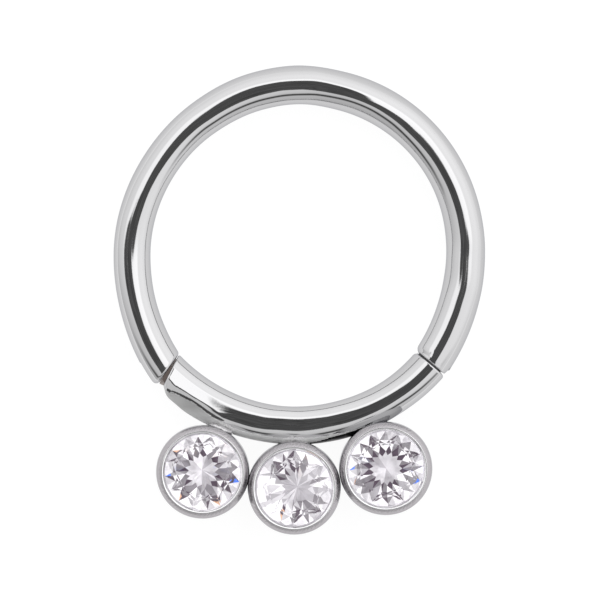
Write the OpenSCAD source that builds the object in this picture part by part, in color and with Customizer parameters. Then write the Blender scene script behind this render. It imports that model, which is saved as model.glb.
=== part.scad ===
// Hinged piercing ring of polished steel wire, with three crystals in round cups under its segment.
// It lies on its back on z = 0, front face up, with the cups towards -Y.

/* [Ring wire] */
// Thickness of the round wire
wire_d = 1.2; // [1.16:0.01:1.24]
// Bend radius of the wire's centreline from the right side to the top
upper_right_r = 5.1; // [5.05:0.01:5.15]
// Bend radius from the top to the left side
upper_left_r = 5.33; // [5.3:0.01:5.36]
// Bend radius from the catch to the right side
lower_right_r = 6.27; // [6.2:0.01:6.34]
// Bend radius from the left side to the hinge, where the wire flares out
lower_left_r = 6.37; // [6.3:0.01:6.44]
// Bend radius of the hinged segment
segment_r = 5.53; // [5.5:0.01:5.56]

/* [Hinge] */
// Thickness of the hinge pin
pin_d = 0.3; // [0.26:0.01:0.32]
// Distance of the pin from the end face of the ring, along the wire
pin_back = 0.4; // [0.38:0.01:0.44]
// Distance of the pin outside the wire's centreline
pin_out = 0.27; // [0.26:0.01:0.28]
// Thickness of the tongue that the pin goes through
tongue_t = 0.38; // [0.34:0.01:0.4]
// Angle of the gap between the two end faces, open to the outside
hinge_gap_a = 8; // [7:0.5:9]
// Rounding of the ring's outer corner at the hinge
ring_corner_r = 0.2; // [0.19:0.01:0.22]
// Rounding of the segment's outer corner at the hinge
segment_corner_r = 0.35; // [0.3:0.01:0.4]

/* [Catch] */
// Gap between the end faces at the catch
catch_gap = 0.04; // [0.03:0.01:0.06]
// How far the segment's nib reaches into the ring
nib_l = 0.24; // [0.2:0.01:0.26]
// Width of the nib across the wire
nib_w = 0.96; // [0.9:0.02:0.96]
// Thickness of the nib
nib_t = 0.2; // [0.16:0.01:0.22]
// Chamfer around the two end faces at the catch
end_chamfer = 0.06; // [0.04:0.01:0.08]

/* [Settings] */
// Outer diameter of a cup
cup_d = 2.88; // [2.86:0.01:2.88]
// Height of a cup
cup_h = 1.6; // [1.58:0.01:1.7]
// Width of the sloping rim outside its crest
rim_w = 0.165; // [0.15:0.005:0.18]
// Drop of the rim from its crest to the outer wall
rim_drop = 0.14; // [0.1:0.01:0.18]
// Diameter of the opening inside the lip that holds the stone
lip_d = 2.34; // [2.32:0.01:2.36]
// Size of the solder bead between a cup and the wire
solder_d = 0.66; // [0.5:0.02:0.7]

/* [Stones] */
// Diameter of a stone at its girdle
stone_d = 2.38; // [2.37:0.01:2.39]
// Diameter of the flat table on top, corner to corner
table_d = 1.6; // [1.5:0.02:1.7]
// Height of the crown above the girdle
crown_h = 0.28; // [0.25:0.01:0.32]
// Slope of the main facets under the girdle
pavilion_a = 40; // [39:0.5:41]

/* [Hidden] */
$fn = 96;

wire_r = wire_d / 2;
past = 2 * wire_d;

// Centres of the wire's bends: two bends that meet have their centres on one line through the joint
lower_right_at = [upper_right_r - lower_right_r, 0];
upper_right_at = [0, 0];
upper_left_at = [0, upper_right_r - upper_left_r];
lower_left_at = [lower_left_r - upper_left_r, upper_right_r - upper_left_r];
segment_at = [-0.2, -0.01];

// Where the wires end, as angles about the centre of their last bend
ring_hinge_a = 214.2;
ring_catch_a = -34.5;
segment_hinge_a = 224.3;
segment_catch_a = -40.5;

// Directions of the end faces, from the inside of the ring outwards
ring_face_a = 235;
segment_face_a = ring_face_a + hinge_gap_a;
catch_face_a = -40.5;

// The hinge: eye, bar and plate of the tongue, and the slot for them, closed to the inside of the ring
slot_gap = 0.02;
slot_t = tongue_t + 2 * slot_gap;
eye_r = 0.29;
eye_room = 0.07;
bar_a = 219;
bar_out = 0.1;
bar_in = 0.42;
bar_l = 0.9;
plate_w = 0.92;
plate_out = 0.14;
plate_in = 0.4;
slot_in = 0.47;
pin_press = 0.005;
pin_run = 0.02;
pin_reach = 0.33;
pin_end_room = 0.02;

// The catch: the pocket for the nib, open to the outside so that the nib can swing out of it
nib_chamfer = 0.08;
pocket_room = 0.04;
pocket_t = nib_t + 2 * slot_gap;

// The settings, by columns: place of the cup, turn of the stone, its lean and the way it leans
X = 0;
Y = 1;
TURN = 2;
LEAN = 3;
LEAN_A = 4;
LEFT = [-3.12, -6.98, 8, 0.5, 60];
MIDDLE = [-0.26, -7.48, 20, 2, 30];
RIGHT = [2.6, -6.87, 3, 0.8, 100];

cup_r = cup_d / 2;
crest_r = cup_r - rim_w;
lip_r = lip_d / 2;
lip_drop = 0.08;
lip_t = 0.05;
base_chamfer = 0.06;

// The stone: a table, 8 star, 8 main and 16 upper facets, 16 lower and 8 main ones below
FOLDS = 8;
HALF = 180 / FOLDS;
stone_r = stone_d / 2;
table_r = table_d / 2;
girdle_t = 0.04;
girdle_z = cup_h - 0.18;
star_share = 0.45;
star_r = table_r * cos(HALF) * (1 - star_share) + stone_r * star_share;
lower_r = stone_r * 0.4;
pavilion_h = stone_r * tan(pavilion_a);
seat_gap = 0.08;
groove_r = stone_r + 0.035;
seat_z = girdle_z - girdle_t - seat_gap;

// The part stands on z = 0 with the middle of its outline at the origin
lowest = MIDDLE[Y] - cup_r;
ring_at = [(upper_left_r - upper_right_r) / 2, -(upper_right_r + wire_r + lowest) / 2, wire_r];

function polar(radius, angle) = [radius * cos(angle), radius * sin(angle)];

ring_hinge_at = lower_left_at + polar(lower_left_r, ring_hinge_a);
ring_catch_at = lower_right_at + polar(lower_right_r, ring_catch_a);
segment_hinge_at = segment_at + polar(segment_r, segment_hinge_a);
segment_catch_at = ring_catch_at - polar(catch_gap, catch_face_a + 90);
pin_at = ring_hinge_at - polar(pin_back, ring_hinge_a + 90) + polar(pin_out, ring_hinge_a);
pin_depth = (ring_hinge_at - pin_at) * polar(1, ring_face_a + 90);

// One bend of round wire about a centre
module bend(centre, radius, from, to) {
    translate(centre)
        rotate_extrude(angle = to - from, start = from)
            translate([radius, 0])
                circle(d = wire_d);
}

// Frame of an end face: X runs outwards along the face, and Y away from the wire
module at_face(at, angle, side) {
    translate(at)
        rotate(angle)
            mirror([0, side < 0 ? 1 : 0, 0])
                children();
}

// Everything past an end face
module past_face() {
    translate([-past, 0, -past])
        cube([2 * past, past, 2 * past]);
}

// The sharp edge around an end face
module edge_cut() {
    rotate([90, 0, 0])
        rotate_extrude()
            polygon([
                [wire_r - 2 * end_chamfer, -end_chamfer],
                [wire_r + end_chamfer, -end_chamfer],
                [wire_r + end_chamfer, 2 * end_chamfer]
            ]);
}

// The outer corner of an end face, cut to a round: out_a is the wire's outward direction
module corner_cut(out_a, radius) {
    inset = (wire_r - 0.01 - radius * (1 - sin(out_a))) / cos(out_a);
    translate([inset, -radius, -past])
        linear_extrude(2 * past)
            difference() {
                polygon([[0, 0], [0, past], [past, past], [past, past * tan(out_a)]]);
                circle(radius);
            }
}

// Tongue of the hinge: an eye round the pin, a bar into the segment and a plate that fills the gap
module tongue() {
    translate([0, 0, -tongue_t / 2])
        linear_extrude(tongue_t)
            union() {
                translate(pin_at)
                    circle(eye_r);
                translate(pin_at)
                    rotate(bar_a)
                        translate([-bar_in, 0])
                            square([bar_in + bar_out, bar_l]);
                at_face(segment_hinge_at, segment_face_a, -1)
                    translate([-plate_w / 2, -plate_in])
                        square([plate_w, plate_in + plate_out]);
            }
}

// Nib of the catch, on the end face of the segment
module nib() {
    tip = nib_l + catch_gap;
    translate([0, 0, -nib_t / 2])
        linear_extrude(nib_t)
            polygon([
                [-nib_w / 2, -nib_l],
                [nib_w / 2, -nib_l],
                [nib_w / 2, tip - nib_chamfer],
                [nib_w / 2 - nib_chamfer, tip],
                [nib_chamfer - nib_w / 2, tip],
                [-nib_w / 2, tip - nib_chamfer]
            ]);
}

// A round cup with a sloping rim, an inner lip over the stone's girdle and a seat along the stone
module cup(setting) {
    translate([setting[X], setting[Y], -wire_r])
        rotate_extrude()
            polygon([
                [0, 0],
                [cup_r - base_chamfer, 0],
                [cup_r, base_chamfer],
                [cup_r, cup_h - rim_drop],
                [crest_r, cup_h],
                [lip_r, cup_h - lip_drop],
                [groove_r, cup_h - lip_drop - lip_t],
                [groove_r, seat_z],
                [0, seat_z - pavilion_h]
            ]);
}

// Bead of solder where a cup meets the outside of the wire
module solder(setting) {
    away = [setting[X], setting[Y]] - segment_at;
    translate(segment_at + away * (segment_r + wire_r) / norm(away))
        sphere(d = solder_d);
}

// Height above the girdle at which a main facet passes a point, by its distance along the facet
function crown_z(along) = crown_h * (stone_r - along) / (stone_r - table_r);
function pavilion_z(along) = -girdle_t - pavilion_h * (stone_r - along) / stone_r;

// Corners of the stone, as rings around its axis that start at a given angle
function ring_of(count, radius, start, z) =
    [for (i = [0 : count - 1]) [each polar(radius, start + 360 / count * i), z]];

module stone() {
    table = 0;
    star = FOLDS;
    girdle = 2 * FOLDS;
    under = 4 * FOLDS;
    lower = 6 * FOLDS;
    culet = 7 * FOLDS;
    round_i = 2 * FOLDS;
    points = [
        each ring_of(FOLDS, table_r, 0, crown_h),
        each ring_of(FOLDS, star_r, HALF, crown_z(star_r * cos(HALF))),
        each ring_of(round_i, stone_r, 0, 0),
        each ring_of(round_i, stone_r, 0, -girdle_t),
        each ring_of(FOLDS, lower_r, HALF, pavilion_z(lower_r * cos(HALF))),
        [0, 0, pavilion_z(0)]
    ];
    folds = [0 : FOLDS - 1];
    faces = [
        [for (i = [FOLDS - 1 : -1 : 0]) table + i],
        for (i = folds) [table + (i + 1) % FOLDS, star + i, table + i],
        for (i = folds) [star + i, girdle + 2 * i, star + (i + FOLDS - 1) % FOLDS, table + i],
        for (i = folds) [girdle + 2 * i + 1, girdle + 2 * i, star + i],
        for (i = folds) [girdle + (2 * i + 2) % round_i, girdle + 2 * i + 1, star + i],
        for (j = [0 : round_i - 1])
            [girdle + j, girdle + (j + 1) % round_i, under + (j + 1) % round_i, under + j],
        for (i = folds) [lower + i, under + 2 * i, under + 2 * i + 1],
        for (i = folds) [lower + i, under + 2 * i + 1, under + (2 * i + 2) % round_i],
        for (i = folds) [culet, lower + (i + FOLDS - 1) % FOLDS, under + 2 * i, lower + i]
    ];
    polyhedron(points, faces);
}

// A stone in its cup, leaning about the middle of its girdle
module set_stone(setting) {
    color("aliceblue")
        translate(ring_at + [setting[X], setting[Y], girdle_z - wire_r])
            rotate(setting[LEAN], [-sin(setting[LEAN_A]), cos(setting[LEAN_A]), 0])
                rotate(setting[TURN])
                    stone();
}

module ring_body() {
    color("silver")
        translate(ring_at)
            difference() {
                union() {
                    bend(lower_right_at, lower_right_r, ring_catch_a - 10, 0);
                    bend(upper_right_at, upper_right_r, 0, 90);
                    bend(upper_left_at, upper_left_r, 90, 180);
                    bend(lower_left_at, lower_left_r, 180, ring_hinge_a + 10);
                }
                at_face(ring_hinge_at, ring_face_a, 1) {
                    past_face();
                    corner_cut(ring_hinge_a - ring_face_a, ring_corner_r);
                    translate([-slot_in, -pin_depth - eye_r - eye_room, -slot_t / 2])
                        cube([past, past, slot_t]);
                }
                at_face(ring_catch_at, catch_face_a, -1) {
                    past_face();
                    edge_cut();
                    translate([-nib_w / 2 - pocket_room, -nib_l - pocket_room, -pocket_t / 2])
                        cube([past, past, pocket_t]);
                }
                translate([pin_at[X], pin_at[Y], pin_reach + pin_end_room - past])
                    cylinder(d = pin_d + 2 * pin_press, h = past);
            }
}

module hinged_segment() {
    color("silver")
        translate(ring_at)
            difference() {
                union() {
                    difference() {
                        bend(segment_at, segment_r, segment_hinge_a - 10, segment_catch_a + 370);
                        at_face(segment_hinge_at, segment_face_a, -1) {
                            past_face();
                            corner_cut(segment_face_a - segment_hinge_a, segment_corner_r);
                        }
                        at_face(segment_catch_at, catch_face_a, 1) {
                            past_face();
                            edge_cut();
                        }
                    }
                    tongue();
                    at_face(segment_catch_at, catch_face_a, 1)
                        nib();
                    for (setting = [LEFT, MIDDLE, RIGHT]) {
                        cup(setting);
                        solder(setting);
                    }
                }
                translate([pin_at[X], pin_at[Y], -past / 2])
                    cylinder(d = pin_d + 2 * pin_run, h = past);
            }
}

// The pin ends flush with the back of the wire
module hinge_pin() {
    color("silver")
        translate(ring_at)
            intersection() {
                bend(lower_left_at, lower_left_r, 180, ring_hinge_a + 10);
                translate([pin_at[X], pin_at[Y], pin_reach - past])
                    cylinder(d = pin_d, h = past);
            }
}

ring_body();
hinged_segment();
hinge_pin();
set_stone(LEFT);  // stone_left
set_stone(MIDDLE);  // stone_middle
set_stone(RIGHT);  // stone_right
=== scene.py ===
# Hinged piercing ring of polished steel wire with three crystals in round cups, lying on its back
import math
import random

import bmesh
import bpy
from mathutils import Matrix, Vector, noise


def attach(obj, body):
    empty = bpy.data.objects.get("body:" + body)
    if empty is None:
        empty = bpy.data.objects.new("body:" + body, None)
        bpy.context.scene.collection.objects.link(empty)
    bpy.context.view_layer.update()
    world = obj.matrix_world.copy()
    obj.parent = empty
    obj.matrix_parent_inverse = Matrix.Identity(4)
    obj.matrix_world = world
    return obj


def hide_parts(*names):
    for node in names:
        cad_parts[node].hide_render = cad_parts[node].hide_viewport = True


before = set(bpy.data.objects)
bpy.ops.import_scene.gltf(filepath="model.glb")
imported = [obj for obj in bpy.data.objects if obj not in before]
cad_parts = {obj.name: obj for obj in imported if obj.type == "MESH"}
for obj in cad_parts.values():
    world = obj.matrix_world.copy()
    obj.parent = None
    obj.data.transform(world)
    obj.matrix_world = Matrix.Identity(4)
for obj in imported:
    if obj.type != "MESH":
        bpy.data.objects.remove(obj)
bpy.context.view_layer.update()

scene = bpy.context.scene

# Sizes are in millimetres from the middle of the upper right bend, as in the part's source, and
# RING_AT is where that middle lies in the shared frame
MM = 0.001
RING_AT = Vector((0.115, 1.61, 0.6))
WIRE_R = 0.6
UPPER_RIGHT = ((0, 0), 5.1)
UPPER_LEFT = ((0, -0.23), 5.33)
LOWER_LEFT = ((1.04, -0.23), 6.37)
LOWER_RIGHT = ((-1.17, 0), 6.27)
SEGMENT = ((-0.2, -0.01), 5.53)
PIN_AT = Vector((-4.67665, -3.6314, 0))
PIN_R = 0.15
PIN_BACK, PIN_FRONT = -0.7, 0.33
BORE_GAP, BORE_END = 0.005, 0.35
BAR_TURN = 219
SLOT_TURN = 235
PLATE_TURN = 243
CATCH_TURN = -40.5
CATCH_GAP = 0.04
SLOT_T = 0.42
TONGUE_T = 0.38
POCKET_T = 0.24
NIB_T = 0.2
CUPS = {"left": (-3.12, -6.98), "middle": (-0.26, -7.48), "right": (2.6, -6.87)}
STONE_R = 1.19


def polar(radius, degrees):
    turn = math.radians(degrees)
    return Vector((radius * math.cos(turn), radius * math.sin(turn), 0))


def on_bend(bend, degrees):
    return Vector((*bend[0], 0)) + polar(bend[1], degrees)


# A wire's end: a point on its middle line, the way out along the end face, and the way off the wire
RING_HINGE = (on_bend(LOWER_LEFT, 214.2), polar(1, SLOT_TURN), polar(1, SLOT_TURN + 90))
RING_CATCH = (on_bend(LOWER_RIGHT, -34.5), polar(1, CATCH_TURN), polar(1, CATCH_TURN - 90))
SEGMENT_HINGE = (on_bend(SEGMENT, 224.3), polar(1, PLATE_TURN), polar(1, PLATE_TURN - 90))
SEGMENT_CATCH = (
    RING_CATCH[0] - polar(CATCH_GAP, CATCH_TURN + 90), polar(1, CATCH_TURN),
    polar(1, CATCH_TURN + 90),
)


def eased(marks, at):
    """Value at an angle, eased from each marked angle to the next."""
    for (a, low), (b, high) in zip(marks, marks[1:]):
        if at <= b:
            share = min(max((at - a) / (b - a), 0), 1)
            return low + (high - low) * share * share * (3 - 2 * share)
    return marks[-1][1]


# The wire is finished by hand: clock angle round the ring, and what it does there. THICKNESS is a
# share of the wire's; DRIFT moves its line outwards by a share of its radius; CROWN_TURN leans its
# polished front outwards; CROWN_FLAT flattens it, or fills it out where it is below 0
THICKNESS = [
    (-40, 1.03), (-20, 1.035), (15, 1.0), (60, 1.02), (105, 1.01), (150, 0.955),
    (195, 0.96), (220, 1.01), (240, 1.02), (262, 0.99), (280, 1.0), (303, 0.955), (318, 0.97),
]
DRIFT = [
    (-40, 0.05), (-10, 0.04), (12, 0.01), (60, 0.0), (76, 0.0), (93, 0.08), (106, 0.06),
    (128, 0.0), (148, -0.015), (180, 0.03), (214, 0.03), (230, 0.0), (320, 0.0),
]
CROWN_TURN = [
    (-40, -0.1), (-28, -0.08), (-20, -0.04), (-12, 0.08), (-4, 0.02), (4, 0.1), (12, 0.08),
    (20, 0.05), (28, 0), (36, -0.02), (52, -0.02), (60, -0.05), (68, -0.06), (84, -0.06),
    (92, -0.16), (100, -0.13), (108, -0.1), (124, -0.08), (132, -0.03), (148, -0.06), (164, 0.02),
    (172, 0.08), (180, 0.09), (188, 0.1), (196, 0.09), (204, 0.06), (240, 0.04), (258, 0.06),
    (264, 0), (270, 0.04), (276, 0), (282, -0.02), (290, 0.02), (300, 0.06), (310, 0.12),
    (320, 0.14),
]
CROWN_FLAT = [
    (-40, 0), (-4, -0.01), (8, -0.03), (24, -0.02), (44, 0), (68, -0.13), (90, -0.02), (110, 0),
    (152, 0.01), (180, 0.08), (206, 0), (216, 0), (240, 0.05), (256, 0.09), (270, 0.09),
    (283, 0.04), (296, 0), (320, 0),
]

# How far the segment's front stands proud, by clock angle
PROUD = [(242, 0), (257, 0.03), (300, 0)]

# The segment's hinge end is filed into flats round the wire, with a nick before the last. The edges
# between them are tilts by clock angle: 0 is the wire's front, and 90 its outer side
FIRST_EDGE = -21
RIDGE = [
    (224, 12), (227, 14.5), (229, 11.5), (231, 9), (237, 7), (240, 8.5), (243, 15), (246, 21),
    (249, 23),
]
NICK = [
    (224, 44), (227, 37), (229, 30), (231, 26), (235, 21), (237, 23), (240, 26.5), (243, 28),
    (249, 29),
]
NICK_HALF = 3
LAST_EDGE = 78
ROUND_FROM = 130
# The tilts that the first flat, the second and the nick face, and how much of them is left
FLATS_FACE = (-11.5, 20, 6)
FRONT_SHARE = [(236, 1), (250, 0)]
FLANK_SHARE = [(243, 1), (249, 0)]
LAST_RADIUS = [(224, 1), (230, 1.03), (234, 1.07), (243, 1.05), (249, 1)]

# Satin finish on the flank, from tilts by clock angle on and up to clock angles by tilt; the strip
# between the solder joints painted near-black as shade; and the direction the file strokes run
# across
SATIN_FROM = [
    (224, 47), (227, 40), (229, 33), (231, 29), (235, 24), (237, 26), (240, 30), (243, 32),
    (248, 40), (281, 40),
]
SATIN_END_TILT = 85
SATIN_START = 223
SATIN_TO = [(40, 281), (46, 292)]
PAINTED_SHADE_FROM = [(272, 62), (280, 49), (289, 45)]
PAINTED_SHADE_END_TILT = 110
ACROSS_STROKES = Vector((0.6, 0.35, 0.5))
SATIN_SLOT, PAINTED_SHADE_SLOT = 1, 2


def middle_line(x, y, segment):
    """Nearest point of the wire's middle line, with the way out of the ring there."""
    if segment:
        bend = SEGMENT
    elif x >= 0:
        bend = UPPER_RIGHT if y >= 0 else LOWER_RIGHT
    else:
        bend = UPPER_LEFT if y >= UPPER_LEFT[0][1] else LOWER_LEFT
    centre = Vector((*bend[0], 0))
    out = (Vector((x, y, 0)) - centre).normalized()
    return centre + out * bend[1], out


def clock(x, y):
    """Angle round the ring, from the catch at -40 to 320 degrees."""
    return (math.degrees(math.atan2(y, x)) + 40.5) % 360 - 40.5


def filed(tilt, at):
    """Radius left on the wire, as a share, where flats are filed along its hinge end."""
    front, flank = eased(FRONT_SHARE, at), eased(FLANK_SHARE, at)
    if front == 0:
        return 1
    tilt = math.degrees(tilt)
    nick = eased(NICK, at)
    edges = [FIRST_EDGE, eased(RIDGE, at), nick - NICK_HALF, nick + NICK_HALF]
    radius = 1
    for start, end, face, share in zip(edges, edges[1:], FLATS_FACE, (front, flank, flank)):
        if tilt < start:
            break
        reach = min(tilt, end)
        cut = math.cos(math.radians(start - face)) / math.cos(math.radians(reach - face))
        radius *= cut ** share
    if tilt > edges[-1]:
        start, end = math.radians(edges[-1]), math.radians(LAST_EDGE)
        rest = 1 + flank * (eased(LAST_RADIUS, at) - 1)
        side = rest * math.sin(end) - radius * math.sin(start)
        drop = radius * math.cos(start) - rest * math.cos(end)
        face = math.atan2(drop, side)
        if tilt < LAST_EDGE:
            bowed = eased([(edges[-1], radius), (LAST_EDGE, rest)], tilt)
            flat = radius * math.cos(start - face) / math.cos(math.radians(tilt) - face)
            radius = bowed + flank * (flat - bowed)
        else:
            radius = eased([(LAST_EDGE, rest), (ROUND_FROM, 1)], tilt)
    return radius


def hand_finish(bm, segment):
    """Lets the wire's line, its thickness and the middle of its polished front wander a little."""
    for v in bm.verts:
        middle, out = middle_line(v.co.x, v.co.y, segment)
        across = v.co - middle
        side = across.dot(out)
        at = clock(v.co.x, v.co.y)
        tilt = math.atan2(side, v.co.z)
        scale = eased(THICKNESS, at) * (1 + eased(CROWN_TURN, at) / 2 * math.sin(2 * tilt))
        height = v.co.z * (1 + (scale - 1) * 0.5)
        height -= eased(CROWN_FLAT, at) * WIRE_R * max(math.cos(tilt), 0) ** 3
        if segment:
            left = filed(tilt, at)
            height = height * left + eased(PROUD, at)
            scale *= left
        flat = middle + out * (side * scale + eased(DRIFT, at) * WIRE_R)
        v.co = Vector((flat.x, flat.y, height))


STEPS_PER_DEGREE = 0.9


def wire(bends, around):
    """Round wire through (bend, from, to) in turn, open at both ends."""
    bm = bmesh.new()
    bend, start, _ = bends[0]
    ring = bmesh.ops.create_circle(bm, segments=around, radius=WIRE_R)["verts"]
    out = polar(1, start)
    lie = Matrix((out, Vector((0, 0, 1)), polar(1, start - 90))).transposed().to_4x4()
    lie.translation = on_bend(bend, start)
    bmesh.ops.transform(bm, matrix=lie, verts=ring)
    last = list({e for v in ring for e in v.link_edges})
    for bend, start, end in bends:
        swept = bmesh.ops.spin(
            bm, geom=last, cent=(*bend[0], 0), axis=(0, 0, 1),
            angle=math.radians(end - start), steps=round(abs(end - start) * STEPS_PER_DEGREE),
        )
        last = [g for g in swept["geom_last"] if isinstance(g, bmesh.types.BMEdge)]
    bmesh.ops.remove_doubles(bm, verts=bm.verts, dist=1e-4)
    return bm


def near(bm, at, reach):
    """Everything whose corners are all close to a point."""
    verts = {v for v in bm.verts if (v.co - at).length < reach}
    edges = [e for e in bm.edges if e.verts[0] in verts and e.verts[1] in verts]
    return list(verts) + edges + [f for f in bm.faces if all(v in verts for v in f.verts)]


CUT_REACH = 2.6
RIM_REACH = 1.5
RIM_STEPS = 12


def end_face(bm, end, segment, lip, outside, inside):
    """Cuts the wire off at an end face and rounds its rim, more at the outer and inner corners."""
    at, along, off = end
    bmesh.ops.bisect_plane(
        bm, geom=near(bm, at, CUT_REACH), dist=1e-4, plane_co=at, plane_no=off, clear_outer=True
    )
    widest = lip + max(outside, inside)
    for step in range(1, RIM_STEPS + 1):
        back = widest * (step / RIM_STEPS) ** 2
        bmesh.ops.bisect_plane(
            bm, geom=near(bm, at, RIM_REACH), dist=1e-4, plane_co=at - off * back, plane_no=off
        )
    for v in bm.verts:
        back = (at - v.co).dot(off)
        if (v.co - at).length > RIM_REACH or back > widest:
            continue
        middle, out = middle_line(v.co.x, v.co.y, segment)
        across = v.co - middle
        side = min(max(across.dot(out) / WIRE_R, -1), 1)
        radius = lip + (outside if side > 0 else inside) * abs(side) ** 3
        if back < radius:
            inward = -(across - off * across.dot(off)).normalized()
            v.co += inward * (radius - math.sqrt(radius ** 2 - (radius - max(back, 0)) ** 2))
    rim = [e for e in bm.edges if e.is_boundary and (e.verts[0].co - at).length < RIM_REACH]
    bmesh.ops.edgeloop_fill(bm, edges=rim)


def finish_flank(bm):
    """Gives the segment's flank its satin finish, a strip of painted shade, and a stroke pattern.
    """
    lay = bm.loops.layers.uv.new("strokes")
    for f in bm.faces:
        centre = f.calc_center_median()
        middle, out = middle_line(centre.x, centre.y, True)
        tilt = math.degrees(math.atan2((centre - middle).dot(out), centre.z))
        at = clock(centre.x, centre.y)
        satin = SATIN_START < at < eased(SATIN_TO, tilt)
        in_painted_shade = PAINTED_SHADE_FROM[0][0] < at < PAINTED_SHADE_FROM[-1][0]
        if satin and eased(SATIN_FROM, at) < tilt < SATIN_END_TILT:
            f.material_index = SATIN_SLOT
        if in_painted_shade and eased(PAINTED_SHADE_FROM, at) < tilt < PAINTED_SHADE_END_TILT:
            f.material_index = PAINTED_SHADE_SLOT
        for loop in f.loops:
            spot = loop.vert.co
            loop[lay].uv = (spot.dot(ACROSS_STROKES), spot.y)


def block(size, at, turn=0):
    """A box for a slot or a bar, as a closed shape of its own."""
    bm = bmesh.new()
    bmesh.ops.create_cube(bm, size=1)
    bmesh.ops.scale(bm, vec=size, verts=bm.verts)
    bmesh.ops.rotate(bm, matrix=Matrix.Rotation(math.radians(turn), 3, "Z"), verts=bm.verts)
    bmesh.ops.translate(bm, vec=at, verts=bm.verts)
    return bm


def rod(radius, low, high, at, segments=64):
    """A round bar along Z, closed at both ends."""
    bm = bmesh.new()
    bmesh.ops.create_cone(
        bm, cap_ends=True, segments=segments, radius1=radius, radius2=radius, depth=high - low
    )
    bmesh.ops.translate(bm, vec=Vector(at) + Vector((0, 0, (low + high) / 2)), verts=bm.verts)
    return bm


def rounded(bm, width):
    """Rounds every edge of a small shape that is sharper than 40 degrees."""
    edges = [e for e in bm.edges if e.calc_face_angle(0) > math.radians(40)]
    bmesh.ops.bevel(
        bm, geom=edges, affect="EDGES", offset=width, segments=3, profile=0.5, material=-1,
        clamp_overlap=True,
    )
    return bm


def as_object(bm, name):
    bmesh.ops.recalc_face_normals(bm, faces=bm.faces)
    mesh = bpy.data.meshes.new(name)
    bm.to_mesh(mesh)
    bm.free()
    obj = bpy.data.objects.new(name, mesh)
    scene.collection.objects.link(obj)
    return obj


def carved(bm, cutters, joined=()):
    """A shape with cutters taken out of it and others joined to it."""
    body = as_object(bm, "carving")
    tools = [(as_object(c, "cutter"), "UNION") for c in joined]
    tools += [(as_object(c, "cutter"), "DIFFERENCE") for c in cutters]
    for tool, way in tools:
        cut = body.modifiers.new("cut", "BOOLEAN")
        cut.operation = way
        cut.solver = "EXACT"
        cut.object = tool
    out = bmesh.new()
    out.from_object(body, bpy.context.evaluated_depsgraph_get())
    for obj in [body] + [tool for tool, _ in tools]:
        bpy.data.meshes.remove(obj.data)
    return out


def piece(bm, name, material, body, sharp=35):
    """Finishes a shape as a piece of the ring: in metres, smooth but for its sharp edges."""
    bmesh.ops.translate(bm, vec=RING_AT, verts=bm.verts)
    bmesh.ops.scale(bm, vec=(MM, MM, MM), verts=bm.verts)
    for f in bm.faces:
        f.smooth = sharp > 0
    for e in bm.edges:
        e.smooth = e.calc_face_angle(0) < math.radians(sharp)
    obj = as_object(bm, name)
    obj.data.materials.append(material)
    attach(obj, body)
    return obj


# Materials


def new_material(name):
    material = bpy.data.materials.new(name)
    material.use_nodes = True
    nodes = material.node_tree.nodes
    return material, nodes, material.node_tree.links, nodes["Principled BSDF"]


def grain(nodes, links, scale, detail, stretch=(1, 1, 1), source="Object"):
    """Noise over the piece, stretched along its axes."""
    place = nodes.new("ShaderNodeTexCoord")
    lay = nodes.new("ShaderNodeMapping")
    lay.inputs["Scale"].default_value = stretch
    links.new(place.outputs[source], lay.inputs["Vector"])
    speck = nodes.new("ShaderNodeTexNoise")
    speck.inputs["Scale"].default_value = scale
    speck.inputs["Detail"].default_value = detail
    links.new(lay.outputs["Vector"], speck.inputs["Vector"])
    return speck.outputs["Fac"]


def spread(nodes, links, fac, low, high, start=0.3, end=0.7):
    """A pattern made to run from one value to another."""
    remap = nodes.new("ShaderNodeMapRange")
    remap.inputs["From Min"].default_value = start
    remap.inputs["From Max"].default_value = end
    remap.inputs["To Min"].default_value = low
    remap.inputs["To Max"].default_value = high
    links.new(fac, remap.inputs["Value"])
    return remap.outputs["Result"]


def bumps(nodes, links, shader, height, distance, before=None):
    """Fine relief over the surface, on top of the relief before it."""
    bump = nodes.new("ShaderNodeBump")
    bump.inputs["Strength"].default_value = 1
    bump.inputs["Distance"].default_value = distance
    links.new(height, bump.inputs["Height"])
    if before is not None:
        links.new(before, bump.inputs["Normal"])
    links.new(bump.outputs["Normal"], shader.inputs["Normal"])
    return bump.outputs["Normal"]


def polished_steel(name, grey):
    """Mirror-bright steel, a little wavy from the buffing wheel and darker towards its outline."""
    material, nodes, links, shader = new_material(name)
    shader.inputs["Metallic"].default_value = 1
    shader.inputs["Base Color"].default_value = (grey, grey * 0.997, grey * 1.01, 1)
    shader.inputs["Specular Tint"].default_value = (0.68, 0.68, 0.7, 1)
    worn = grain(nodes, links, 900, 3)
    links.new(spread(nodes, links, worn, 0.03, 0.07), shader.inputs["Roughness"])
    wave = bumps(nodes, links, shader, grain(nodes, links, 1100, 1), 2.5e-6)
    bumps(nodes, links, shader, grain(nodes, links, 16000, 2), 2.5e-7, wave)
    return material


# Where along Y the segment's flank grows paler, from the filed flats to the cups: painted light
# that lifts the shade near the cups
PAINTED_LIGHT_Y = (-4.95, -5.45)


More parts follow.
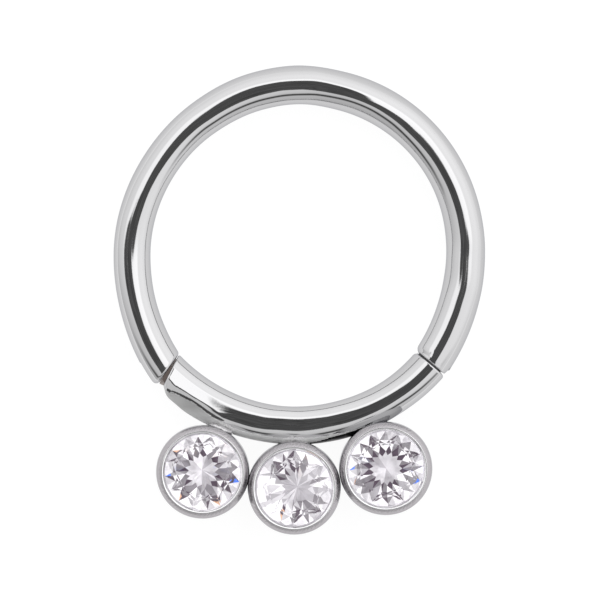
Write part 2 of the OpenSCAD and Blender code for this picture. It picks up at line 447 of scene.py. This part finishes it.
def filed_steel(name, grey, rough, metal=1, painted_light_grey=None):
    """Steel with fine file strokes; where asked for, its grey is painted paler towards the cups, as
    painted light.
    """
    material, nodes, links, shader = new_material(name)
    shader.inputs["Metallic"].default_value = metal
    shader.inputs["Base Color"].default_value = (grey * 1.01, grey * 0.97, grey * 1.01, 1)
    if painted_light_grey:
        rows = nodes.new("ShaderNodeSeparateXYZ")
        links.new(nodes.new("ShaderNodeTexCoord").outputs["UV"], rows.inputs[0])
        painted_light_greys = spread(nodes, links, rows.outputs["Y"], grey, painted_light_grey, *PAINTED_LIGHT_Y)
        links.new(painted_light_greys, shader.inputs["Base Color"])
    worn = grain(nodes, links, 2200, 3)
    links.new(spread(nodes, links, worn, rough - 0.06, rough + 0.06), shader.inputs["Roughness"])
    strokes = grain(nodes, links, 4, 2, stretch=(5, 1, 1), source="UV")
    bumps(nodes, links, shader, strokes, 1e-5)
    return material


def rough_solder():
    """Solder left as it set, with a sandy skin."""
    material, nodes, links, shader = new_material("rough_solder")
    shader.inputs["Metallic"].default_value = 1
    shader.inputs["Base Color"].default_value = (0.62, 0.61, 0.62, 1)
    worn = grain(nodes, links, 5000, 3)
    links.new(spread(nodes, links, worn, 0.2, 0.45), shader.inputs["Roughness"])
    bumps(nodes, links, shader, grain(nodes, links, 9000, 3), 1.5e-5)
    return material


def crystal():
    """Clear crystal glass."""
    material, _, _, shader = new_material("crystal")
    shader.inputs["Base Color"].default_value = (1, 1, 1, 1)
    shader.inputs["Roughness"].default_value = 0
    shader.inputs["IOR"].default_value = 1.6
    shader.inputs["Transmission Weight"].default_value = 1
    return material


def painted_reflection(name, colour):
    """A painted reflection on some of a stone's back facets: a tint that also glows."""
    material, _, _, shader = new_material(name)
    shader.inputs["Base Color"].default_value = (*colour, 1)
    shader.inputs["Metallic"].default_value = 0.5
    shader.inputs["Roughness"].default_value = 0.12
    shader.inputs["Emission Color"].default_value = (*colour, 1)
    shader.inputs["Emission Strength"].default_value = 0.6
    return material


def tarnished_steel_painted_glow():
    """The hinge's hidden knuckle, dull and brownish, with a faint painted glow that lights it in
    its dark gap.
    """
    material, _, _, shader = new_material("tarnished_steel_painted_glow")
    shader.inputs["Metallic"].default_value = 0.3
    shader.inputs["Base Color"].default_value = (0.52, 0.47, 0.45, 1)
    shader.inputs["Roughness"].default_value = 0.7
    # Painted glow: the knuckle glows faintly, standing in for light that barely reaches into the
    # hinge's gap
    shader.inputs["Emission Color"].default_value = (1, 0.9, 0.86, 1)
    shader.inputs["Emission Strength"].default_value = 0.06
    return material


STEEL = polished_steel("polished_steel", 0.57)
FILED = filed_steel("filed_steel", 0.42, 0.22)
# Satin flank steel, painted paler towards the cups as painted light against the shade there
SATIN = filed_steel("satin_steel", 0.46, 0.45, 0.25, 0.9)
# Near-black steel: painted shade on the strip between the solder joints, next to the cups
PAINTED_SHADE_STEEL = filed_steel("painted_shade_steel", 0.07, 0.3)
WALL = polished_steel("cup_wall_steel", 0.46)
# The lip's steel is paler than the wire's: a painted highlight along the lip's bright line
LIP_PAINTED_HIGHLIGHT = polished_steel("cup_lip_painted_highlight_steel", 0.8)
SOLDER = rough_solder()
TARNISHED_PAINTED_GLOW = tarnished_steel_painted_glow()
CRYSTAL = crystal()
# The backs' tints: painted reflections from white to dark and painted sparks of blue and orange,
# all glowing a little
PAINTED_REFLECTIONS = [
    painted_reflection("painted_reflection_white", (0.95, 0.935, 0.955)), painted_reflection("painted_reflection_pale", (0.66, 0.645, 0.67)),
    painted_reflection("painted_reflection_soft", (0.44, 0.425, 0.45)), painted_reflection("painted_reflection_grey", (0.25, 0.235, 0.255)),
    painted_reflection("painted_reflection_dark", (0.1, 0.075, 0.1)), painted_reflection("painted_spark_blue", (0.1, 0.25, 0.95)),
    painted_reflection("painted_spark_orange", (0.75, 0.45, 0.3)),
]

# Ring: four bends of wire, slotted for the hinge and with a pocket for the catch
ring = wire([
    (LOWER_RIGHT, -44.5, 0), (UPPER_RIGHT, 0, 90), (UPPER_LEFT, 90, 180), (LOWER_LEFT, 180, 224.2)
], 96)
hand_finish(ring, False)
end_face(ring, RING_HINGE, False, lip=0.09, outside=0.13, inside=0)
end_face(ring, RING_CATCH, False, lip=0.04, outside=0.01, inside=0.12)
slot = block((2, 1.66, SLOT_T), RING_HINGE[0] + RING_HINGE[1] * 0.53, SLOT_TURN)
pocket = block((1.5, 0.56, POCKET_T), RING_CATCH[0] + RING_CATCH[1] * 0.23, CATCH_TURN)
bore = rod(PIN_R + BORE_GAP, -2, BORE_END, PIN_AT)
ring_piece = piece(carved(ring, [slot, pocket, bore]), "ring_wire", STEEL, "ring")
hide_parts("ring_body")

# Segment: one bend of wire with the hinge's tongue and the catch's nib
segment = wire([(SEGMENT, 214.2, 329.5)], 192)
hand_finish(segment, True)
end_face(segment, SEGMENT_HINGE, True, lip=0.07, outside=0.28, inside=0)
end_face(segment, SEGMENT_CATCH, True, lip=0.05, outside=0.06, inside=0.1)
finish_flank(segment)
segment_piece = piece(segment, "segment_wire", STEEL, "segment")
segment_piece.data.materials.append(SATIN)
segment_piece.data.materials.append(PAINTED_SHADE_STEEL)
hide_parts("hinged_segment")

bar_middle = PIN_AT + polar(0.16, BAR_TURN + 180) + polar(0.45, BAR_TURN + 90)
plate_middle = SEGMENT_HINGE[0] - SEGMENT_HINGE[2] * 0.13
tongue = rounded(block((0.52, 0.9, TONGUE_T), bar_middle, BAR_TURN), 0.02)
plate = rounded(block((0.92, 0.54, TONGUE_T), plate_middle, PLATE_TURN), 0.02)
eye = rounded(rod(0.29, -TONGUE_T / 2, TONGUE_T / 2, PIN_AT), 0.02)
# Tongue, plate and eye take the tarnished steel with its faint painted glow
tongue_piece = piece(tongue, "hinge_tongue", TARNISHED_PAINTED_GLOW, "segment")
plate_piece = piece(plate, "hinge_plate", TARNISHED_PAINTED_GLOW, "segment")
eye_piece = piece(eye, "hinge_eye", TARNISHED_PAINTED_GLOW, "segment")
nib_middle = SEGMENT_CATCH[0] + SEGMENT_CATCH[2] * 0.02
nib = rounded(block((0.96, 0.52, NIB_T), nib_middle, CATCH_TURN), 0.04)
nib_piece = piece(nib, "catch_nib", STEEL, "segment")

# Hinge pin, with its back end ground off along the wire's rounded back
pin = rod(PIN_R, PIN_BACK, PIN_FRONT, PIN_AT, 48)
ground_at = PIN_AT + Vector((0, 0, -0.536))
wire_back = polar(0.45, 214.2) + Vector((0, 0, -0.893))
bmesh.ops.bisect_plane(
    pin, geom=pin.verts[:] + pin.edges[:] + pin.faces[:], dist=1e-4, plane_co=ground_at,
    plane_no=wire_back, clear_outer=True,
)
bmesh.ops.edgeloop_fill(pin, edges=[e for e in pin.edges if e.is_boundary])
pin_piece = piece(pin, "pin", STEEL, "ring")
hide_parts("hinge_pin")

# Cup profile: distance from the axis and height above the wire's back. The rim is filed at a slant,
# and the lip inside it is burnished over the stone
CUP_OUTSIDE = [
    (0, 0), (1.38, 0), (1.415, 0.012), (1.432, 0.035), (1.44, 0.07), (1.458, 0.2), (1.458, 1.25),
    (1.444, 1.36), (1.44, 1.42),
]
CUP_RIM = [(1.44, 1.42), (1.437, 1.434), (1.43, 1.446), (1.304, 1.586), (1.288, 1.595)]
CUP_LIP = [
    (1.288, 1.595), (1.275, 1.598), (1.262, 1.596), (1.25, 1.589), (1.215, 1.562), (1.206, 1.552),
    (1.176, 1.5), (1.17, 1.485), (1.173, 1.475), (1.225, 1.46), (1.225, 1.3), (0, 0.27),
]
FILED_SLOT, LIP_SLOT = 1, 2
RIM_FROM_Z = 1.434
CUP_STEPS = 180
STROKES_SLANT = 0.8


def cup(centre):
    """A turned cup with its stroke pattern laid round the axis."""
    bm = bmesh.new()
    outline = CUP_OUTSIDE + CUP_RIM[1:] + CUP_LIP[1:]
    verts = [bm.verts.new((r, 0, z)) for r, z in outline]
    edges = [bm.edges.new(pair) for pair in zip(verts, verts[1:])]
    bmesh.ops.spin(
        bm, geom=verts + edges, cent=(0, 0, 0), axis=(0, 0, 1), angle=math.tau, steps=CUP_STEPS,
        use_merge=True,
    )
    bmesh.ops.remove_doubles(bm, verts=bm.verts, dist=1e-4)
    lay = bm.loops.layers.uv.new("strokes")
    for f in bm.faces:
        middle = f.calc_center_median()
        turn = math.atan2(middle.y, middle.x)
        if middle.z > RIM_FROM_Z:
            f.material_index = FILED_SLOT if middle.xy.length > CUP_LIP[0][0] else LIP_SLOT
        for loop in f.loops:
            spot = loop.vert.co
            swing = math.atan2(spot.y, spot.x)
            swing += math.tau * round((turn - swing) / math.tau)
            loop[lay].uv = (swing + spot.xy.length * STROKES_SLANT, spot.xy.length)
    bmesh.ops.translate(bm, vec=(*centre, -WIRE_R), verts=bm.verts)
    return bm


# A run of solder: how far its middle is from the wire's, to the side and up; half its length, depth
# and height; and its lumps, as their scale, height and seed
SOLDER_OUT = 0.56
SOLDER_Z = 0.38
SOLDER_HALF = (0.4, 0.12, 0.32)
SOLDER_LUMPS = [(4, 0.04, 0), (10, 0.015, 5)]


def solder(centre):
    """A lumpy run of solder filling the groove between the wire's outer side and a cup."""
    away = Vector((*centre, 0)) - Vector((*SEGMENT[0], 0))
    out = away.normalized()
    along = Vector((-out.y, out.x, 0))
    at = Vector((*SEGMENT[0], 0)) + out * (SEGMENT[1] + SOLDER_OUT) + Vector((0, 0, SOLDER_Z))
    bm = bmesh.new()
    bmesh.ops.create_icosphere(bm, subdivisions=5, radius=1)
    for v in bm.verts:
        length, depth, height = (share * half for share, half in zip(v.co, SOLDER_HALF))
        spot = at + along * length + out * depth + Vector((0, 0, height))
        lump = 0
        for scale, tall, seed in SOLDER_LUMPS:
            lump += noise.noise(spot * scale + Vector((*centre, seed))) * tall
        v.co = spot + (spot - at).normalized() * lump
    return bm


# Stones: girdle height above the wire's back, the cut, and how far each is turned and leans, and
# which way
GIRDLE_Z = 1.42
GIRDLE_T = 0.04
TABLE_R = 0.8
CROWN_H = 0.28
PAVILION_H = STONE_R * math.tan(math.radians(40))
STAR_SHARE = 0.45
FOLDS = 8
HALF = 180 / FOLDS
GIRDLE_STEPS = 96
INSIDE = Vector((0, 0, -0.3))
LIES = {"left": (8, 0.5, 60), "middle": (20, 2, 30), "right": (3, 0.8, 100)}
# The star of painted reflections on the back, as shares of its radius, and its tints, which are
# slots of the stone
PETAL, PETAL_NOTCH = 0.45, 0.34
FOOT, NEEDLE_MIDDLE, NEEDLE_TIP = 0.62, 0.66, 0.93
WHITE, PALE, SOFT, GREY, DARK, BLUE, ORANGE = range(1, 8)
# For each stone: where its star's heart lies and how uneven the star is; the tints of the ring
# round its core and of the core; after which of the 16 needles they stay pale, and up to which; and
# the needles that get a painted spark of colour
HEART = {"left": (-0.02, 0.06), "middle": (0.12, 0), "right": (0.02, 0)}
UNEVEN = {"left": 0.1, "middle": 0.2, "right": 0.1}
SWAY_SHARE, SWAY_PLACE = 0.7, 1.5
RING = {
    "left": (GREY, GREY, DARK, SOFT), "middle": (GREY, DARK, SOFT, PALE),
    "right": (DARK, DARK, GREY),
}
CORE = {
    "left": (WHITE, PALE, PALE, SOFT, SOFT), "middle": (SOFT, PALE, SOFT, PALE, SOFT),
    "right": (PALE, PALE, PALE, SOFT, SOFT),
}
CALM = {"left": (0, 0), "middle": (5, 9), "right": (13, 14)}
SPARKS = {
    "left": {6: ORANGE, 8: BLUE, 10: ORANGE, 13: ORANGE, 15: BLUE},
    "middle": {2: BLUE, 10: ORANGE},
    "right": {8: BLUE, 9: ORANGE, 15: BLUE},
}
SPARK_FROM = 0.28
SEEDS = {"left": 3, "middle": 5, "right": 2}


def corner(radius, angle, height):
    return polar(radius, angle) + Vector((0, 0, height))


def crown_z(along):
    return CROWN_H * (STONE_R - along) / (STONE_R - TABLE_R)


def pavilion_z(along):
    return -GIRDLE_T - PAVILION_H * (STONE_R - along) / STONE_R


def facet(bm, a, b, c):
    """Grinds one facet through three points of the stone."""
    normal = (b - a).cross(c - a).normalized()
    if normal.dot(a - INSIDE) < 0:
        normal = -normal
    bmesh.ops.bisect_plane(
        bm, geom=bm.verts[:] + bm.edges[:] + bm.faces[:], dist=1e-5, plane_co=a, plane_no=normal,
        clear_outer=True,
    )
    rim = [e for e in bm.edges if e.is_boundary]
    if rim:
        bmesh.ops.edgeloop_fill(bm, edges=rim)


def back_with_painted_reflections(bm, name):
    """The stone's pointed back: a star of 16 needles round a flower of petals, in painted
    reflections.
    """
    chance = random.Random(SEEDS[name])
    rim = [v for v in bm.verts if v.is_boundary]
    rim.sort(key=lambda v: math.atan2(v.co.y, v.co.x) % math.tau)
    count = 2 * FOLDS
    step = len(rim) // count
    heart = Vector((*HEART[name], 0))

    def spot(share, place):
        share *= 1 + chance.uniform(-SWAY_SHARE, SWAY_SHARE) * UNEVEN[name]
        angle = 360 / count * (place + chance.uniform(-SWAY_PLACE, SWAY_PLACE) * UNEVEN[name])
        flat = polar(STONE_R * share, angle) + heart * (1 - share)
        return bm.verts.new((flat.x, flat.y, pavilion_z(flat.length)))

    def lay(verts, *tints):
        tint = chance.choice(tints)
        if calm and tint >= GREY:
            tint = chance.choice((WHITE, WHITE, SOFT))
        bm.faces.new(verts).material_index = tint

    tip = spot(0, 0)
    petals = [spot(PETAL, i) for i in range(count)]
    notches = [spot(PETAL_NOTCH, i + 0.5) for i in range(count)]
    feet = [spot(FOOT, i + 0.5) for i in range(count)]
    middles = [spot(NEEDLE_MIDDLE, i) for i in range(count)]
    tips = [spot(NEEDLE_TIP, i) for i in range(count)]
    for i in range(count):
        after = (i + 1) % count
        calm = CALM[name][0] < i <= CALM[name][1]
        spark = SPARKS[name].get(i)
        points = [rim[(i * step + k) % len(rim)] for k in range(step + 1)]
        half = step // 2
        if i % 2 == 0:
            core = chance.choice(CORE[name])
        lay((tip, notches[i - 1], petals[i]), core)
        lay((tip, petals[i], notches[i]), core, core, PALE)
        lay((notches[i], petals[i], feet[i]), *RING[name])
        lay((notches[i], feet[i], petals[after]), *RING[name])
        lay((petals[i], feet[i - 1], middles[i]), WHITE, SOFT, GREY)
        lay((petals[i], middles[i], feet[i]), WHITE, PALE, SOFT, GREY)
        side = [feet[i - 1], tips[i], middles[i]]
        # A painted spark of colour towards the needle's tip
        if spark:
            side[1] = bm.verts.new(feet[i - 1].co.lerp(tips[i].co, SPARK_FROM))
            low = bm.verts.new(middles[i].co.lerp(tips[i].co, SPARK_FROM))
            bm.faces.new((side[1], tips[i], low)).material_index = spark
            side.insert(2, low)
        lay(side, DARK, GREY, SOFT)
        lay((middles[i], tips[i], feet[i]), DARK, DARK, GREY, PALE)
        lay((feet[i], tips[i], points[half]), WHITE, WHITE, WHITE, PALE)
        lay((feet[i], points[half], tips[after]), WHITE, WHITE, PALE)
        tint = chance.choice((WHITE, PALE, SOFT))
        for k in range(step):
            tip_near = tips[i] if k < half else tips[after]
            bm.faces.new((tip_near, points[k], points[k + 1])).material_index = tint


def cut_stone(name):
    """A round brilliant: 8 main, 8 star and 16 upper facets above, a star of painted reflections
    below.
    """
    bm = rod(STONE_R, -GIRDLE_T, CROWN_H, (0, 0, 0), GIRDLE_STEPS)
    star_r = TABLE_R * math.cos(math.radians(HALF)) * (1 - STAR_SHARE) + STONE_R * STAR_SHARE
    star_z = crown_z(star_r * math.cos(math.radians(HALF)))
    for fold in range(FOLDS):
        a = 2 * HALF * fold
        edge = corner(STONE_R, a, 0)
        facet(bm, corner(TABLE_R, a, CROWN_H), edge, edge + polar(1, a + 90))
    for fold in range(FOLDS):
        a = 2 * HALF * fold
        star = corner(star_r, a + HALF, star_z)
        facet(bm, corner(TABLE_R, a, CROWN_H), corner(TABLE_R, a + 2 * HALF, CROWN_H), star)
        for side in (a, a + 2 * HALF):
            facet(bm, star, corner(STONE_R, side, 0), corner(STONE_R, a + HALF, 0))
    under = [f for f in bm.faces if all(v.co.z < -GIRDLE_T + 1e-5 for v in f.verts)]
    bmesh.ops.delete(bm, geom=under, context="FACES_ONLY")
    back_with_painted_reflections(bm, name)
    return bm


def set_stone(name):
    """A stone turned and leaning as it sits in its cup."""
    turn, lean, way = LIES[name]
    bm = cut_stone(name)
    turned = Matrix.Rotation(math.radians(turn), 3, "Z")
    tipped = Matrix.Rotation(math.radians(lean), 3, polar(1, way + 90))
    bmesh.ops.rotate(bm, matrix=tipped @ turned, verts=bm.verts)
    bmesh.ops.translate(bm, vec=(*CUPS[name], GIRDLE_Z - WIRE_R), verts=bm.verts)
    return bm


for name, centre in CUPS.items():
    cup_piece = piece(cup(centre), "cup_" + name, WALL, "segment", 60)
    cup_piece.data.materials.append(FILED)
    cup_piece.data.materials.append(LIP_PAINTED_HIGHLIGHT)
    solder_piece = piece(solder(centre), "solder_" + name, SOLDER, "segment")
    stone_piece = piece(set_stone(name), "crystal_" + name, CRYSTAL, "segment", 0)
    for tint in PAINTED_REFLECTIONS:
        stone_piece.data.materials.append(tint)
    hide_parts("stone_" + name)

# Studio: pale glowing table, a wide soft tent of light open to the camera above. The table lies a
# little under the ring, and its glow grows from one distance off the middle to another
FLOOR_HALF = 0.9
FLOOR_Z = -0.02 * MM
FLOOR_GLOW = (0.94, 1.13)
GLOW_GROWS = (8.5 * MM, 20 * MM)
floor_bm = bmesh.new()
bmesh.ops.create_grid(floor_bm, x_segments=1, y_segments=1, size=FLOOR_HALF)
bmesh.ops.translate(floor_bm, vec=(0, 0, FLOOR_Z), verts=floor_bm.verts)
floor = as_object(floor_bm, "table")
table, nodes, links, shader = new_material("pale_table")
shader.inputs["Base Color"].default_value = (0.1, 0.1, 0.1, 1)
shader.inputs["Roughness"].default_value = 1
shader.inputs["Specular IOR Level"].default_value = 0
shader.inputs["Emission Color"].default_value = (1, 1, 1, 1)
table_place = nodes.new("ShaderNodeTexCoord").outputs["Object"]
from_middle = nodes.new("ShaderNodeVectorMath")
from_middle.operation = "LENGTH"
links.new(table_place, from_middle.inputs[0])
further = spread(nodes, links, from_middle.outputs["Value"], *FLOOR_GLOW, *GLOW_GROWS)
links.new(further, shader.inputs["Emission Strength"])
floor.data.materials.append(table)

# The tent's shading: a direction's azimuth and height, two cosines to it, and the share of glow at
# each; and the height of its seam
TENT = [(250, 0, 0.1, 0.7, 1, 0.82), (0, 90, 0, 0.5, 0.88, 1)]
SEAM_HEIGHT = 53.5
# What stands dark over the ring, as the wire's slopes that mirror it: azimuth, slope and reach
OPENING = [
    (225, 8.5, 8.4), (308, 7.1, 6.5), (97, 10.6, 5.9), (114, 5.4, 5.3), (193, 13.8, 6.0), (0, 0, 2),
    (77, 7.6, 2.2),
]
OPENING_EDGE = 0.9
OPENING_DARK = 0.093
CLUTTER = (0.6 * OPENING_DARK, 1.6 * OPENING_DARK)
BACKDROP = 1

world = bpy.data.worlds.new("studio")
scene.world = world
world.use_nodes = True
nodes, links = world.node_tree.nodes, world.node_tree.links
sky = nodes["Background"]
direction = nodes.new("ShaderNodeTexCoord").outputs["Generated"]


def math_node(operation, first, second=None):
    node = nodes.new("ShaderNodeMath")
    node.operation = operation
    for socket, value in zip(node.inputs, (first, second)):
        if isinstance(value, (int, float)):
            socket.default_value = value
        elif value is not None:
            links.new(value, socket)
    return node.outputs[0]


def facing(vector, azimuth, height):
    """How far a direction points towards an azimuth and a height, as a cosine."""
    node = nodes.new("ShaderNodeVectorMath")
    node.operation = "DOT_PRODUCT"
    links.new(vector, node.inputs[0])
    flat = polar(math.cos(math.radians(height)), azimuth)
    node.inputs[1].default_value = (flat.x, flat.y, math.sin(math.radians(height)))
    return node.outputs["Value"]


def times(first, second):
    return math_node("MULTIPLY", first, second)


def ramp(value, start, end, low, high):
    """A value made to run softly from one number to another."""
    node = nodes.new("ShaderNodeMapRange")
    node.interpolation_type = "SMOOTHSTEP"
    for key, number in (("From Min", start), ("From Max", end), ("To Min", low), ("To Max", high)):
        node.inputs[key].default_value = number
    links.new(value, node.inputs["Value"])
    return node.outputs["Result"]


def halfway_up():
    """The slope of polished wire that mirrors the ray's direction straight upwards."""
    lift = nodes.new("ShaderNodeVectorMath")
    lift.operation = "ADD"
    lift.inputs[1].default_value = (0, 0, 1)
    links.new(direction, lift.inputs[0])
    norm = nodes.new("ShaderNodeVectorMath")
    norm.operation = "NORMALIZE"
    links.new(lift.outputs["Vector"], norm.inputs[0])
    return norm.outputs["Vector"]


# The tent: brighter to the upper right, brightest overhead, dimmer past its seam towards -Y
glow = math_node("ADD", times(facing(direction, 50, 0), 0.26), 1.2)
for azimuth, height, start, end, low, high in TENT:
    glow = times(glow, ramp(facing(direction, azimuth, height), start, end, low, high))
off_up = math_node("ARCCOSINE", facing(direction, 130, 84))
overhead = times(
    ramp(off_up, math.radians(34), math.radians(44), 0.3, 0),
    ramp(facing(direction, 85, 0), -0.1, 0.1, 0, 1),
)
glow = times(glow, math_node("ADD", overhead, 1))
past_seam = facing(direction, 90, SEAM_HEIGHT)
glow = times(glow, ramp(past_seam, -0.15, -0.05, 0.96, 1))
seam = ramp(math_node("ABSOLUTE", past_seam), 0.02, 0.19, 0.92, 0)
seam = times(seam, ramp(facing(direction, 265, 0), 0.33, 0.65, 0, 1))
glow = times(glow, math_node("SUBTRACT", 1, seam))

# The opening, cluttered and dark
halfway = halfway_up()
shade = 1
for azimuth, slope, reach in OPENING:
    off = math_node("ARCCOSINE", facing(halfway, azimuth, 90 - slope))
    low, high = math.radians(reach - OPENING_EDGE), math.radians(reach + OPENING_EDGE)
    shade = math_node("MINIMUM", shade, ramp(off, low, high, 0, 1))
streaks = nodes.new("ShaderNodeTexNoise")
streaks.inputs["Scale"].default_value = 22
streaks.inputs["Detail"].default_value = 3
links.new(direction, streaks.inputs["Vector"])
clutter = spread(nodes, links, streaks.outputs["Fac"], *CLUTTER)
glow = math_node("ADD", times(glow, shade), times(clutter, math_node("SUBTRACT", 1, shade)))
seen = nodes.new("ShaderNodeLightPath").outputs["Is Camera Ray"]
lit = times(glow, math_node("SUBTRACT", 1, seen))
links.new(math_node("ADD", lit, times(seen, BACKDROP)), sky.inputs["Strength"])
sky.inputs["Color"].default_value = (1, 1, 1, 1)

# Camera straight above, framed as the photograph: 18.75 mm across at the height of the wire's front
CAMERA_Z = 160 * MM
FRAMED_Z = 1.2 * MM
FRAMED_WIDTH = 18.75 * MM
SENSOR = 36
camera = bpy.data.objects.new("camera", bpy.data.cameras.new("camera"))
scene.collection.objects.link(camera)
camera.location = (0.035 * MM, 0.0056 * MM, CAMERA_Z)
camera.data.sensor_width = SENSOR
camera.data.lens = SENSOR * (CAMERA_Z - FRAMED_Z) / FRAMED_WIDTH
camera.data.clip_start = 0.001
camera.data.clip_end = 10
scene.camera = camera

scene.view_settings.view_transform = "Standard"
scene.cycles.max_bounces = 24
scene.cycles.glossy_bounces = 16
scene.cycles.transmission_bounces = 16
